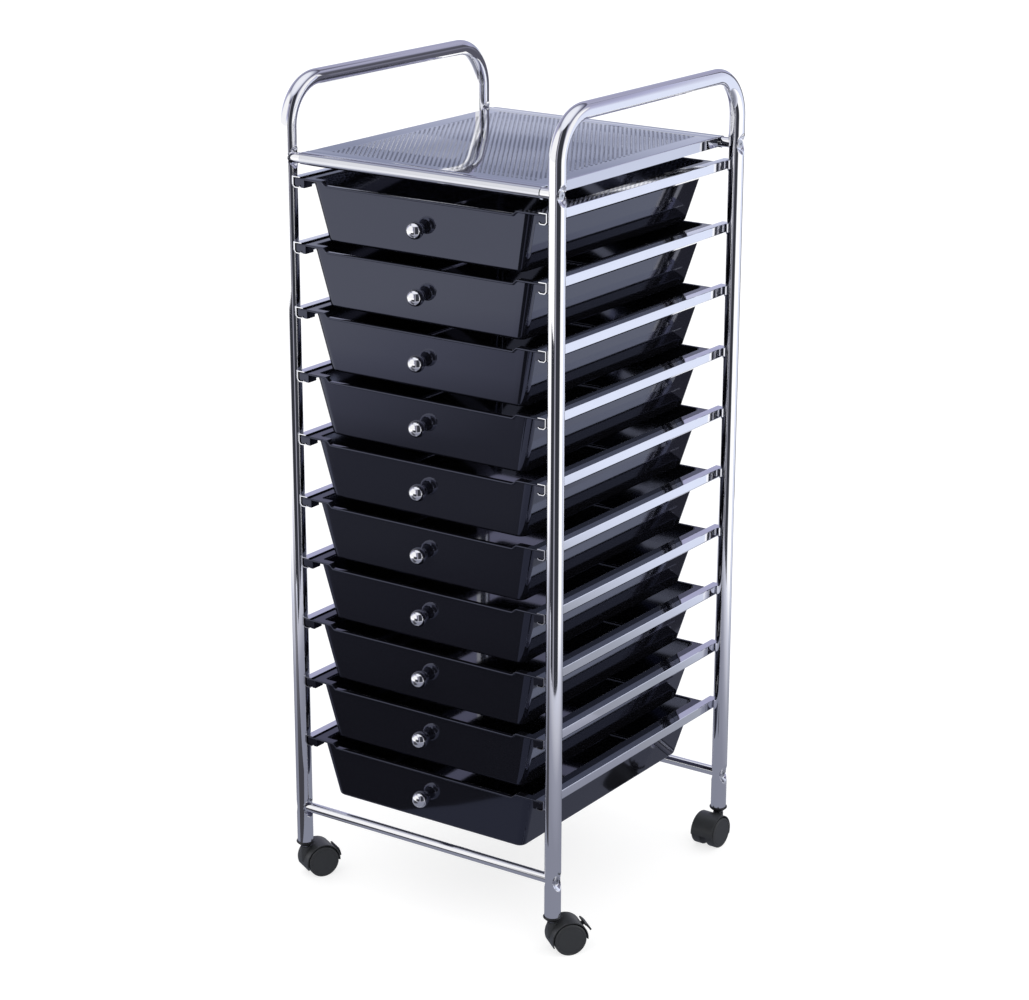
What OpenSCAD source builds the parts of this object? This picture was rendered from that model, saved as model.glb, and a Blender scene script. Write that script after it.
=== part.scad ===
// Rolling drawer cart: two bent tube side frames, ten tapered trays on
// folded steel runners, a perforated top shelf and four twin wheel casters.
// Front faces -Y, the floor is at z = 0.

/* [Frame] */
// Distance across the cart between the leg axes, mm
frame_w = 358; // [320:1:400]
// Distance from front to rear between the leg axes, mm
frame_d = 367; // [330:1:420]
// Outer diameter of the bent frame tube, mm
tube_d = 19; // [18:0.5:22]
// Wall of the frame tube, mm
tube_wall = 1.2; // [1:0.1:1.6]
// Centreline radius of the handle bends, mm
bend_r = 50; // [42:1:60]
// Top of the handles above the top cross tube axis, mm
handle_rise = 91.3; // [80:0.1:140]
// Bottom cross tube axis above the lower end of the legs, mm
foot_rise = 45.5; // [36:0.5:70]
// Outer diameter of the cross tubes, mm
cross_d = 12; // [11:0.5:14]
// Wall of the cross tubes, mm
cross_wall = 1; // [0.8:0.1:1.4]

/* [Dents and screws] */
// How far the leg wall is pressed in at each cross tube, mm
dent_depth = 6; // [5:0.25:6.5]
// Screw thread diameter at the cross tube ends, mm
screw_d = 5; // [4:0.5:6]
// Screw head diameter, mm
screw_head_d = 9; // [8:0.5:10]
// Length of the tapped plug in each cross tube end, mm
plug_len = 18; // [14:1:26]

/* [Runners] */
// Sheet thickness of the runners, mm
runner_t = 1; // [0.8:0.1:1.3]
// Height of a runner, mm
runner_h = 12.7; // [12:0.1:15]
// Width of the runner's top flange, mm
runner_flange = 10.3; // [9:0.1:12]
// Width of the runner's flat bottom lip, mm
runner_lip = 8.6; // [8:0.1:9.5]
// Upturned edge of the lip, mm
lip_curl = 1.6; // [1:0.1:2]
// Slanted fold between web and lip, mm
runner_fold = 2.5; // [2:0.1:3]
// Runner length past each leg axis, mm
runner_over = 6; // [3:0.5:9]
// Lowest runner above the bottom cross tube axis, mm
first_runner_rise = 95.6; // [90:0.1:130]
// Top cross tube axis above the top runner, mm
shelf_rise = 19.8; // [18:0.1:40]

/* [Drawers] */
// Overall height of a drawer, mm
drawer_h = 69.2; // [50:0.1:80]
// Free height between one drawer and the next, mm
drawer_gap = 5; // [4:0.1:14]
// Wall of a drawer, mm
drawer_wall = 2; // [1.6:0.1:3]
// Width of the side flange that hangs in the runner, mm
flange_w = 19; // [17:0.5:24]
// Thickness of the flange, mm
flange_t = 2.2; // [1.6:0.1:3]
// Draft of the side and rear walls, degrees
wall_draft = 13.5; // [6:0.5:16]
// Draft of the front wall, degrees
front_draft = 6; // [0:0.5:8]
// Front rim ahead of the front leg axis, mm
rim_front = 5; // [2:0.5:6]
// Rear rim ahead of the rear leg axis, mm
rim_rear = 9.5; // [8:0.5:30]
// Overhang of the front rim past the front wall, mm
front_lip = 3.7; // [3:0.1:8]
// Drop of the front rim below the side flanges, mm
front_drop = 4.5; // [2:0.1:6]
// How far the high corner shelves of the front rim reach in past the body side, mm
ear_w = 18; // [12:0.5:30]
// Depth of the corner shelves behind the front wall, mm
ear_depth = 4; // [2:0.5:8]
// Outer corner radius at the drawer's top, mm
corner_r = 10; // [6:0.5:14]
// Width of the solid guide block at the front corners, mm
guide_w = 15.5; // [14:0.5:17]
// Length of the guide block, mm
guide_len = 14; // [8:0.5:24]

/* [Knobs] */
// Diameter of the knob ball, mm
knob_d = 19.6; // [14:0.2:24]
// Knob centre below the top of the runner, mm
knob_drop = 39.2; // [30:0.1:42]
// Diameter of the round seat moulded on the drawer front, mm
seat_d = 12; // [10:0.5:14]
// Height of the seat over the drawn-in front wall, mm
seat_len = 0.9; // [0.7:0.1:2]
// Diameter of the knob's neck, mm
neck_d = 9; // [7:0.5:10]
// Centre of the ball ahead of the seat, mm
knob_reach = 10; // [9.9:0.1:16]
// Screw shank diameter of the knob, mm
knob_screw_d = 4; // [3:0.5:5]

/* [Top shelf] */
// Sheet thickness of the shelf, mm
shelf_t = 0.8; // [0.6:0.1:1.2]
// Gap between shelf side and leg, mm
shelf_side_gap = 9.5; // [5:0.5:15]
// Height of the folded sides, mm
shelf_side_h = 12; // [9:0.5:18]
// Pitch of the perforation rows, mm
hole_pitch = 16; // [14:1:24]
// Diameter of a perforation, mm
hole_d = 5; // [3:0.5:7]
// Plain margin round the perforated field, mm
field_margin = 20; // [16:1:40]

/* [Casters] */
// Wheel diameter, mm
wheel_d = 38; // [36:1:50]
// Width of one wheel, mm
wheel_w = 12; // [11:0.2:16]
// Distance of the axle behind the swivel axis, mm
trail = 17; // [16:0.5:20]
// Leg end above the wheel centre, mm
leg_over_axle = 26; // [24.5:0.1:30]
// Thickness of the plate between the wheels, mm
plate_t = 8; // [7.6:0.1:10]
// Thickness of the hood over the wheels, mm
hood_t = 1.4; // [1:0.1:2]
// Axle diameter, mm
axle_d = 6; // [4:0.5:7]
// Overhang of the socket's saucer past the leg, mm
saucer_over = 1.4; // [1:0.1:2.5]
// Thickness of the saucer's edge, mm
saucer_h = 1.2; // [0.8:0.1:2]
// Swivel stem diameter in the leg socket, mm
stem_d = 8; // [7:0.5:9]
// Swivel stem diameter in the housing, mm
pivot_d = 6; // [5:0.5:6.5]
// Direction in which the front left caster trails, degrees
turn_front_left = 62; // [0:1:360]
// Direction in which the front right caster trails, degrees
turn_front_right = 52; // [0:1:360]
// Direction in which the rear left caster trails, degrees
turn_rear_left = 200; // [0:1:360]
// Direction in which the rear right caster trails, degrees
turn_rear_right = 268; // [0:1:360]
// How far the front right brake lever stands raised, degrees
lever_up = 24; // [0:1:25]

/* [Fits] */
// Radial clearance of a turning fit, mm
run_gap = 0.05; // [0.03:0.01:0.08]
// Clearance between seated fixed parts, mm
seat_gap = 0.03; // [0.02:0.01:0.05]
// Vertical play of the drawer in the runner, mm
rim_gap = 0.8; // [0.5:0.1:1.2]
// Side play of the drawer in the runner, mm
side_gap = 0.8; // [0.5:0.1:1.2]
// Clearance between guide block and lip, mm
guide_gap = 0.5; // [0.4:0.1:0.8]
// Clearance between a wheel and its housing, mm
wheel_gap = 0.6; // [0.5:0.1:1.0]
// End play of the swivel, mm
swivel_gap = 0.3; // [0.3:0.05:0.5]

/* [Hidden] */
drawers = 10;
tube_r = tube_d / 2;
cross_r = cross_d / 2;
leg_x = frame_w / 2;
leg_y = frame_d / 2;
pitch = drawer_h + drawer_gap;
wheel_r = wheel_d / 2;
leg_z = wheel_r + leg_over_axle;
low_tube_z = leg_z + foot_rise;
low_runner_z = low_tube_z + first_runner_rise;
top_runner_z = low_runner_z + (drawers - 1) * pitch;
top_tube_z = top_runner_z + shelf_rise;
handle_z = top_tube_z + handle_rise - tube_r;
bend_z = handle_z - bend_r;
// dents
inner_floor = leg_x - tube_r + dent_depth;
outer_floor = leg_x + tube_r - dent_depth;
dent_half = cross_r + 0.6;
dent_ramp = dent_depth * 0.9;
// runners
runner_sink = 0.4;
web_x = leg_x - tube_r + runner_sink;
runner_y = leg_y + runner_over;
lip_z = -runner_h + runner_t;
// drawer, measured from the top of its runner
rim_half = web_x - runner_t - side_gap;
rim_top = -runner_t - rim_gap;
body_half = rim_half - flange_w;
body_bot = rim_top - drawer_h;
y_rim = -(leg_y + rim_front);
y_back = leg_y - rim_rear;
y_face = y_rim + front_lip;
y_wall = y_back - 1.5;
side_in = drawer_h * tan(wall_draft);
front_in = drawer_h * tan(front_draft);
ramp_out = body_half - ear_w;
ramp_in = ramp_out - front_drop * 1.5;
front_top = rim_top - front_drop;
front_band = flange_t + 0.6;
skirt_out = rim_half - runner_fold + runner_t - 0.6;
face_at_knob = y_face + (knob_drop + rim_top) * tan(front_draft);
seat_y = face_at_knob - seat_len;
knob_r = knob_d / 2;
seat_r = seat_d / 2;
knob_y = seat_y - seat_gap - knob_reach;
pad_y = face_at_knob + drawer_wall + 1.2;
screw_in = 8;
// shelf
roll_in = cross_r + 0.15;
roll_out = roll_in + shelf_t;
shelf_z = top_tube_z + roll_out;
shelf_half = leg_x - tube_r - shelf_side_gap;
// casters, trailing along local +X
plate_half = plate_t / 2;
wheel_in = plate_half + wheel_gap;
wheel_out = wheel_in + wheel_w;
cavity_r = wheel_r + wheel_gap * 2;
hood_r = cavity_r + hood_t;
hood_half = wheel_out - 1.2;
socket_low = leg_z - 6;
collar_h = 0.7;
boss_top = socket_low - collar_h - swivel_gap - seat_gap;
boss_r = pivot_d / 2 + 3.3;
stem_seat = 30;
// brake lever: pin position, paddle between two radii about the wheel centre, arm
lever_px = trail + 12.2;
lever_pz = wheel_r + 9.5;
pin_r = 1.3;
hub_r = 3;
arm_half = 1.6;
lever_w = 22;
paddle_in = hood_r + 1;
paddle_out = hood_r + 3.2;
paddle_low = 1.5;
paddle_top = 31;
slot_half = arm_half + 0.5;
slot_r = hub_r + 1.2;
slot_reach = hood_r + 4.4;
// where the outermost corners of the casters reach, for the centred frame
function far(a, u, c) = max([for (x = [trail - hood_r, trail + hood_r], y = [-hood_half, hood_half])
    u * (x * cos(a + c) + y * sin(a + c))]);
x_high = leg_x + max(far(turn_front_right, 1, 0), far(turn_rear_right, 1, 0), tube_r);
x_low = leg_x + max(far(turn_front_left, -1, 0), far(turn_rear_left, -1, 0), tube_r);
y_high = leg_y + max(far(turn_rear_left, 1, -90), far(turn_rear_right, 1, -90), tube_r);
y_low = max(leg_y + max(far(turn_front_left, -1, -90), far(turn_front_right, -1, -90), tube_r),
    -knob_y + knob_r);
move_x = (x_low - x_high) / 2;
move_y = (y_low - y_high) / 2;

chrome = [0.78, 0.79, 0.84];
steel = [0.62, 0.63, 0.66];
smoke = [0.10, 0.10, 0.12];
grey = [0.16, 0.17, 0.18];
black = [0.05, 0.05, 0.06];

$fn = 48;

// Solid of the bent tube's centreline at radius r, in the plane of one side frame
module bent_bar(r, low) {
    for (s = [-1, 1])
        translate([leg_x, s * leg_y, low])
            cylinder(r = r, h = bend_z - low);
    for (s = [0, 1])
        mirror([0, s, 0])
            translate([leg_x, leg_y - bend_r, bend_z])
                rotate([90, 0, 90])
                    rotate_extrude(angle = 90)
                        translate([bend_r, 0])
                            circle(r = r);
    translate([leg_x, -(leg_y - bend_r), handle_z])
        rotate([-90, 0, 0])
            cylinder(r = r, h = 2 * (leg_y - bend_r));
}

// Pressed dents at one leg and height: the cross tube seats in the inner one,
// the screw head in the outer one
module dents(s, z, grow) {
    translate([0, s * leg_y + tube_r + 1, z])
        rotate([90, 0, 0])
            linear_extrude(tube_d + 2) {
                polygon([[leg_x - tube_r - 1, -dent_half - dent_ramp - 1 - grow],
                    [inner_floor + grow, -dent_half - grow / 2],
                    [inner_floor + grow, dent_half + grow / 2],
                    [leg_x - tube_r - 1, dent_half + dent_ramp + 1 + grow]]);
                polygon([[leg_x + tube_r + 1, -dent_half - dent_ramp + 1 - grow],
                    [outer_floor - grow, -dent_half + 1 - grow / 2],
                    [outer_floor - grow, dent_half - 1 + grow / 2],
                    [leg_x + tube_r + 1, dent_half + dent_ramp - 1 + grow]]);
            }
}

module side_frame() {
    color(chrome)
        difference() {
            union() {
                difference() {
                    bent_bar(tube_r, leg_z);
                    bent_bar(tube_r - tube_wall, leg_z - 5);
                }
                for (s = [-1, 1], z = [low_tube_z, top_tube_z])
                    intersection() {
                        translate([leg_x, s * leg_y, z - 30])
                            cylinder(r = tube_r - tube_wall / 2, h = 60);
                        dents(s, z, tube_wall);
                    }
            }
            for (s = [-1, 1], z = [low_tube_z, top_tube_z])
                dents(s, z, 0);
            for (s = [-1, 1], z = [low_tube_z, top_tube_z])
                translate([leg_x - tube_r, s * leg_y, z])
                    rotate([0, 90, 0])
                        cylinder(d = screw_d + 0.6, h = tube_d, $fn = 24);
        }
}

// Runner section, u inward from the web's outer face
module runner_section() {
    polygon([[0, 0], [0, -runner_h + runner_fold], [runner_fold, -runner_h], [runner_lip, -runner_h],
        [runner_lip + lip_curl, -runner_h + lip_curl],
        [runner_lip + lip_curl - runner_t * 0.7, -runner_h + lip_curl + runner_t * 0.7],
        [runner_lip - runner_t * 0.4, lip_z], [runner_fold + runner_t * 0.4, lip_z],
        [runner_t, -runner_h + runner_fold + runner_t * 0.4],
        [runner_t, -runner_t], [runner_flange, -runner_t], [runner_flange, 0]]);
}

// Ten runners of one side, coped to sit against the two legs
module runners() {
    color(chrome)
        difference() {
            for (i = [0:drawers - 1])
                translate([web_x, -runner_y, low_runner_z + i * pitch])
                    rotate([90, 0, 180])
                        linear_extrude(2 * runner_y)
                            runner_section();
            for (s = [-1, 1])
                translate([leg_x, s * leg_y, low_runner_z - 30])
                    cylinder(r = tube_r + seat_gap, h = drawers * pitch + 40);
        }
}

// Cross tube with a tapped plug at each end
module cross_tube(s, z) {
    color(chrome)
        translate([-inner_floor + seat_gap, s * leg_y, z])
            rotate([0, 90, 0]) {
                len = 2 * (inner_floor - seat_gap);
                difference() {
                    cylinder(r = cross_r, h = len);
                    translate([0, 0, plug_len])
                        cylinder(r = cross_r - cross_wall, h = len - 2 * plug_len);
                    for (e = [0, len - plug_len])
                        translate([0, 0, e - 1])
                            cylinder(d = screw_d + 2 * seat_gap, h = plug_len + 2, $fn = 24);
                }
            }
}

// Cross-shaped recess for a driver: span w, depth h below the head's outer face at z
module cross_recess(w, z, h) {
    for (q = [0, 90])
        rotate([0, 0, q])
            translate([-w / 2, -w / 10, z - 1])
                cube([w, w / 5, h + 1]);
}

// Pan head screws through the pressed leg into the cross tube plugs
module frame_screw() {
    head_h = screw_head_d * 0.29;
    shank = outer_floor - inner_floor + plug_len * 0.75;
    difference() {
        union() {
            translate([0, 0, -seat_gap - head_h / 2])
                cylinder(d = screw_d, h = shank, $fn = 24);
            translate([0, 0, -head_h - seat_gap])
                cylinder(d = screw_head_d, h = head_h, $fn = 32);
        }
        cross_recess(screw_head_d * 0.5, -head_h - seat_gap, head_h / 2);
    }
}

module frame_screw_set() {
    color(steel)
        for (m = [0, 1], s = [-1, 1], z = [low_tube_z, top_tube_z])
            mirror([m, 0, 0])
                translate([outer_floor, s * leg_y, z])
                    rotate([0, -90, 0])
                        frame_screw();
}

// Sheet rolled round a cross tube, seen along X
module roll_section(s) {
    difference() {
        circle(r = roll_out);
        circle(r = roll_in);
        translate([s > 0 ? -2 * roll_out : 0, -roll_out * 0.85])
            square([2 * roll_out, 2 * roll_out]);
    }
}

module shelf() {
    holes_x = floor((shelf_half - field_margin) / hole_pitch);
    row_y = hole_pitch * 0.866;
    holes_y = floor((leg_y - field_margin) / row_y);
    color(chrome)
        union() {
            translate([0, 0, shelf_z - shelf_t])
                linear_extrude(shelf_t)
                    difference() {
                        translate([-shelf_half, -leg_y])
                            square([2 * shelf_half, 2 * leg_y]);
                        for (j = [-holes_y:holes_y], i = [-holes_x:holes_x - abs(j % 2)])
                            translate([(i + abs(j % 2) / 2) * hole_pitch, j * row_y])
                                circle(d = hole_d, $fn = 16);
                    }
            for (s = [-1, 1])
                translate([-shelf_half, s * leg_y, top_tube_z])
                    rotate([90, 0, 90])
                        linear_extrude(2 * shelf_half)
                            roll_section(s);
            for (s = [-1, 1])
                translate([s * (shelf_half - shelf_t / 2) - shelf_t / 2, -leg_y + roll_out + 2,
                    shelf_z - shelf_side_h])
                    cube([shelf_t, 2 * (leg_y - roll_out - 2), shelf_side_h]);
        }
}

// Plastic socket in each leg end, with a flange and a short cone below
module socket_set() {
    color(black)
        for (x = [-1, 1], y = [-1, 1])
            translate([x * leg_x, y * leg_y, 0])
                difference() {
                    union() {
                        translate([0, 0, leg_z - 1])
                            cylinder(r = tube_r - tube_wall - seat_gap, h = stem_seat + 1);
                        translate([0, 0, leg_z - saucer_h - seat_gap])
                            cylinder(r = tube_r + saucer_over, h = saucer_h);
                        translate([0, 0, socket_low])
                            cylinder(r1 = stem_d / 2 + 1.4, r2 = tube_r + saucer_over,
                                h = leg_z - saucer_h - seat_gap - socket_low);
                    }
                    translate([0, 0, socket_low - 1])
                        cylinder(r = stem_d / 2 + seat_gap, h = stem_seat + 10);
                }
}

// Steel stems, fixed in the sockets, with the pivot for the housing below
module stem_set() {
    color(steel)
        for (x = [-1, 1], y = [-1, 1])
            translate([x * leg_x, y * leg_y, 0]) {
                translate([0, 0, socket_low - seat_gap])
                    cylinder(d = stem_d, h = stem_seat);
                translate([0, 0, socket_low - seat_gap - collar_h])
                    cylinder(r = stem_d / 2 + 1, h = collar_h);
                translate([0, 0, wheel_r + 2.5])
                    cylinder(d = pivot_d, h = socket_low - wheel_r - 3);
            }
}

// Rounded slab at height z: side and end setbacks in plan, corner radius r
module slab(z, dx, df, dr, r) {
    translate([0, 0, z])
        linear_extrude(0.02)
            for (x = [-1, 1], y = [y_face + df + r, y_wall - dr - r])
                translate([x * (body_half - dx - r), y])
                    circle(r = r, $fn = 32);
}

// Tapered tub between two heights, as a hull with a softened bottom edge
module tub(w, z_top, z_bot, soft) {
    k = (rim_top - z_bot) / drawer_h;
    q = (rim_top - z_top) / drawer_h;
    m = (rim_top - z_bot - soft) / drawer_h;
    r = corner_r - w;
    hull() {
        slab(z_top, w + q * side_in, w + q * front_in, w + q * side_in, r);
        slab(z_bot + soft, w + m * side_in, w + m * front_in, w + m * side_in, r - 1);
        slab(z_bot, w + k * side_in + soft, w + k * front_in + soft, w + k * side_in + soft, r - soft + 1);
    }
}

// Front rim seen from the front, with the drop between the side flanges
module front_rim(top) {
    polygon([[-rim_half, rim_top], [-ramp_out, rim_top], [-ramp_in, front_top],
        [ramp_in, front_top], [ramp_out, rim_top], [rim_half, rim_top],
        [rim_half, top ? 10 : rim_top - front_band], [ramp_out, top ? 10 : rim_top - front_band],
        [ramp_in, top ? 10 : front_top - front_band], [-ramp_in, top ? 10 : front_top - front_band],
        [-ramp_out, top ? 10 : rim_top - front_band], [-rim_half, top ? 10 : rim_top - front_band]]);
}

// Guide block that fills the runner at the drawer's front corner
module guide_block() {
    u0 = side_gap + runner_t;
    tip_u = runner_lip + lip_curl;
    low = -runner_h + 0.1;
    polygon([[u0, rim_top], [u0, -runner_h + runner_fold + runner_t],
        [runner_fold + runner_t * 0.4 + guide_gap, lip_z + guide_gap],
        [runner_lip - runner_t * 0.4 - guide_gap, lip_z + guide_gap],
        [tip_u - runner_t * 0.7 - guide_gap, -runner_h + lip_curl + runner_t * 0.7 + guide_gap],
        [tip_u + guide_gap + 0.1, -runner_h + lip_curl + runner_t * 0.7 + guide_gap],
        [tip_u + guide_gap + 0.1, low],
        [guide_w, low], [guide_w, rim_top]]);
}

module drawer(z) {
    color(smoke)
        translate([0, 0, z])
            difference() {
                union() {
                    tub(0, rim_top, body_bot, 3);
                    for (s = [-1, 1]) {
                        translate([s * (rim_half + ramp_in) / 2 - (rim_half - ramp_in) / 2,
                            y_rim + front_lip, rim_top - flange_t])
                            cube([rim_half - ramp_in, y_back - y_rim - front_lip, flange_t]);
                        translate([s * (skirt_out - flange_t / 2) - flange_t / 2, y_rim + guide_len / 2,
                            lip_z + 0.3])
                            cube([flange_t, y_back - y_rim - guide_len / 2, rim_top - lip_z - 0.3]);
                    }
                    translate([-body_half, y_wall - corner_r - 2, rim_top - flange_t])
                        cube([2 * body_half, y_back - y_wall + corner_r + 2, flange_t]);
                    translate([0, y_face + drawer_wall, 0])
                        rotate([90, 0, 0])
                            linear_extrude(front_lip + drawer_wall)
                                front_rim(false);
                    for (m = [0, 1])
                        mirror([m, 0, 0])
                            translate([web_x, y_rim, 0])
                                rotate([90, 0, 180])
                                    linear_extrude(guide_len)
                                        guide_block();
                    // round seat for the knob and flat pad behind it
                    translate([0, pad_y, -knob_drop])
                        rotate([90, 0, 0])
                            cylinder(r = seat_r, h = pad_y - seat_y, $fn = 32);
                }
                difference() {
                    tub(drawer_wall, rim_top + 0.5, body_bot + drawer_wall, 2.5);
                    translate([0, pad_y, -knob_drop])
                        rotate([90, 0, 0])
                            cylinder(r = seat_r, h = 8, $fn = 32);
                    for (s = [-1, 1])
                        translate([s * ramp_out - (1 - s) / 2 * ear_w, y_face, rim_top - flange_t])
                            cube([ear_w, drawer_wall + ear_depth, flange_t + 2]);
                }
                // the front wall's top edge follows the dropped rim
                translate([0, y_face + drawer_wall + ear_depth + 0.5, 0])
                    rotate([90, 0, 0])
                        linear_extrude(drawer_wall + ear_depth + front_lip + 2)
                            front_rim(true);
                translate([0, pad_y + 10, -knob_drop])
                    rotate([90, 0, 0])
                        cylinder(r = knob_screw_d / 2 + seat_gap, h = 30, $fn = 24);
            }
}

// Ball knob with a short neck and a tapped bore, turned about its own axis
module knob(z) {
    color(chrome)
        translate([0, knob_y, z - knob_drop])
            rotate([90, 0, 0])
                rotate_extrude($fn = 64)
                    difference() {
                        union() {
                            circle(r = knob_r);
                            translate([0, -knob_reach])
                                square([neck_d / 2, knob_reach]);
                        }
                        translate([-2 * knob_r, -2 * knob_r])
                            square([2 * knob_r, 4 * knob_r]);
                        translate([-1, -knob_reach - 1])
                            square([1 + knob_screw_d / 2 + seat_gap, screw_in + 2]);
                    }
}

// Screw from inside the drawer into the knob
module knob_screw(z) {
    head_h = knob_screw_d * 0.55;
    back = pad_y + seat_gap;
    color(steel)
        translate([0, back, z - knob_drop])
            rotate([90, 0, 0])
                difference() {
                    union() {
                        cylinder(d = knob_screw_d, h = back - seat_y + screw_in - 0.5, $fn = 24);
                        translate([0, 0, -head_h])
                            cylinder(d = knob_screw_d * 2, h = head_h, $fn = 32);
                    }
                    cross_recess(knob_screw_d, -head_h, head_h / 2);
                }
}

// Places a caster piece: x and y pick the leg, a is where it trails
module at_leg(x, y, a) {
    translate([x * leg_x, y * leg_y, 0])
        rotate([0, 0, a])
            children();
}

module crosswise(x, z, from, to, r, n = 48) {
    translate([x, from, z])
        rotate([-90, 0, 0])
            cylinder(r = r, h = to - from, $fn = n);
}

module lever_slot() {
    crosswise(lever_px, lever_pz, -slot_half, slot_half, slot_r, 32);
    translate([0, slot_half, 0])
        rotate([90, 0, 0])
            linear_extrude(2 * slot_half)
                polygon([[lever_px, lever_pz - slot_r],
                    for (t = [8, 30, 56]) [trail + slot_reach * cos(t), wheel_r + slot_reach * sin(t)],
                    [lever_px, lever_pz]]);
}

// Hood, centre plate and swivel boss in one moulding
module housing(brake) {
    color(grey) {
        difference() {
            union() {
                intersection() {
                    crosswise(trail, wheel_r, -hood_half, hood_half, hood_r, 64);
                    translate([0, hood_half + 1, 0])
                        rotate([90, 0, 0])
                            linear_extrude(2 * hood_half + 2)
                                polygon([[-12, wheel_r - 10], [trail + 32, wheel_r],
                                    [trail + 32, 80], [-12, 80]]);
                }
                crosswise(trail, wheel_r, -plate_half, plate_half, axle_d / 2 + 3.5, 32);
                translate([0, 0, wheel_r])
                    cylinder(r = boss_r, h = boss_top - wheel_r, $fn = 32);
            }
            crosswise(trail, wheel_r, plate_half, hood_half + 5, cavity_r, 64);
            crosswise(trail, wheel_r, -hood_half - 5, -plate_half, cavity_r, 64);
            crosswise(trail, wheel_r, -plate_half - 1, plate_half + 1, axle_d / 2 + seat_gap, 32);
            translate([0, 0, wheel_r + 2])
                cylinder(r = pivot_d / 2 + run_gap, h = 60, $fn = 32);
            if (brake) lever_slot();
        }
        if (brake) crosswise(lever_px, lever_pz, -slot_half - 0.5, slot_half + 0.5, pin_r, 24);
    }
}

module axle() {
    color(steel)
        crosswise(trail, wheel_r, -wheel_out + 3, wheel_out - 3, axle_d / 2, 32);
}

// One wheel of the pair on side s, with a shallow ring on its face
module wheel(s) {
    color(grey)
        translate([trail, 0, wheel_r])
            rotate([-90 * s, 0, 0])
                rotate_extrude($fn = 64)
                    polygon([[axle_d / 2 + run_gap, wheel_in], [wheel_r - 1, wheel_in],
                        [wheel_r, wheel_in + 1], [wheel_r, wheel_out - 1.6], [wheel_r - 1.6, wheel_out],
                        [wheel_r - 2.6, wheel_out], [wheel_r - 3, wheel_out - 0.4],
                        [wheel_r - 3.6, wheel_out - 0.4], [wheel_r - 4.2, wheel_out - 0.1],
                        [0, wheel_out - 0.1], [0, wheel_out - 2.6],
                        [axle_d / 2 + run_gap, wheel_out - 2.6]]);
}

// Paddle lever on its pin, up is how far it stands raised
module lever(up) {
    color(black)
        translate([lever_px, 0, lever_pz])
            rotate([0, -up, 0])
                translate([-lever_px, 0, -lever_pz])
                    difference() {
                        union() {
                            intersection() {
                                difference() {
                                    crosswise(trail, wheel_r, -lever_w / 2, lever_w / 2, paddle_out, 64);
                                    crosswise(trail, wheel_r, -lever_w, lever_w, paddle_in, 64);
                                }
                                translate([0, lever_w, 0])
                                    rotate([90, 0, 0])
                                        linear_extrude(2 * lever_w)
                                            polygon([[trail, wheel_r + paddle_low],
                                                [trail + 2 * hood_r, wheel_r + paddle_low],
                                                [trail + 2 * hood_r * cos(paddle_top),
                                                    wheel_r + 2 * hood_r * sin(paddle_top)],
                                                [trail, wheel_r + paddle_low + 0.1]]);
                            }
                            crosswise(lever_px, lever_pz, -arm_half, arm_half, hub_r, 32);
                            translate([0, arm_half, 0])
                                rotate([90, 0, 0])
                                    linear_extrude(2 * arm_half)
                                        polygon([[lever_px, lever_pz - hub_r * 0.75],
                                            for (t = [18, 29])
                                                [trail + (hood_r + 2) * cos(t), wheel_r + (hood_r + 2) * sin(t)],
                                            [lever_px, lever_pz + hub_r * 0.9]]);
                        }
                        crosswise(lever_px, lever_pz, -2 * arm_half, 2 * arm_half, pin_r + run_gap, 24);
                    }
}

function runner_z(k) = top_runner_z - (k - 1) * pitch;

module centred() {
    translate([move_x, move_y, 0])
        children();
}

module side_frame_left() centred() mirror([1, 0, 0]) side_frame();
module side_frame_right() centred() side_frame();
module runners_left() centred() mirror([1, 0, 0]) runners();
module runners_right() centred() runners();
module top_cross_tube_front() centred() cross_tube(-1, top_tube_z);
module top_cross_tube_rear() centred() cross_tube(1, top_tube_z);
module bottom_cross_tube_front() centred() cross_tube(-1, low_tube_z);
module bottom_cross_tube_rear() centred() cross_tube(1, low_tube_z);
module top_shelf() centred() shelf();
module frame_screws() centred() frame_screw_set();
module caster_sockets() centred() socket_set();
module caster_stems() centred() stem_set();
module drawer_01() centred() drawer(runner_z(1));
module drawer_02() centred() drawer(runner_z(2));
module drawer_03() centred() drawer(runner_z(3));
module drawer_04() centred() drawer(runner_z(4));
module drawer_05() centred() drawer(runner_z(5));
module drawer_06() centred() drawer(runner_z(6));
module drawer_07() centred() drawer(runner_z(7));
module drawer_08() centred() drawer(runner_z(8));
module drawer_09() centred() drawer(runner_z(9));
module drawer_10() centred() drawer(runner_z(10));
module knob_01() centred() knob(runner_z(1));
module knob_02() centred() knob(runner_z(2));
module knob_03() centred() knob(runner_z(3));
module knob_04() centred() knob(runner_z(4));
module knob_05() centred() knob(runner_z(5));
module knob_06() centred() knob(runner_z(6));
module knob_07() centred() knob(runner_z(7));
module knob_08() centred() knob(runner_z(8));
module knob_09() centred() knob(runner_z(9));
module knob_10() centred() knob(runner_z(10));
module knob_screw_01() centred() knob_screw(runner_z(1));
module knob_screw_02() centred() knob_screw(runner_z(2));
module knob_screw_03() centred() knob_screw(runner_z(3));
module knob_screw_04() centred() knob_screw(runner_z(4));
module knob_screw_05() centred() knob_screw(runner_z(5));
module knob_screw_06() centred() knob_screw(runner_z(6));
module knob_screw_07() centred() knob_screw(runner_z(7));
module knob_screw_08() centred() knob_screw(runner_z(8));
module knob_screw_09() centred() knob_screw(runner_z(9));
module knob_screw_10() centred() knob_screw(runner_z(10));
module caster_housing_front_left() centred() at_leg(-1, -1, turn_front_left) housing(true);
module caster_housing_front_right() centred() at_leg(1, -1, turn_front_right) housing(true);
module caster_housing_rear_left() centred() at_leg(-1, 1, turn_rear_left) housing(false);
module caster_housing_rear_right() centred() at_leg(1, 1, turn_rear_right) housing(false);
module axle_front_left() centred() at_leg(-1, -1, turn_front_left) axle();
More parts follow.
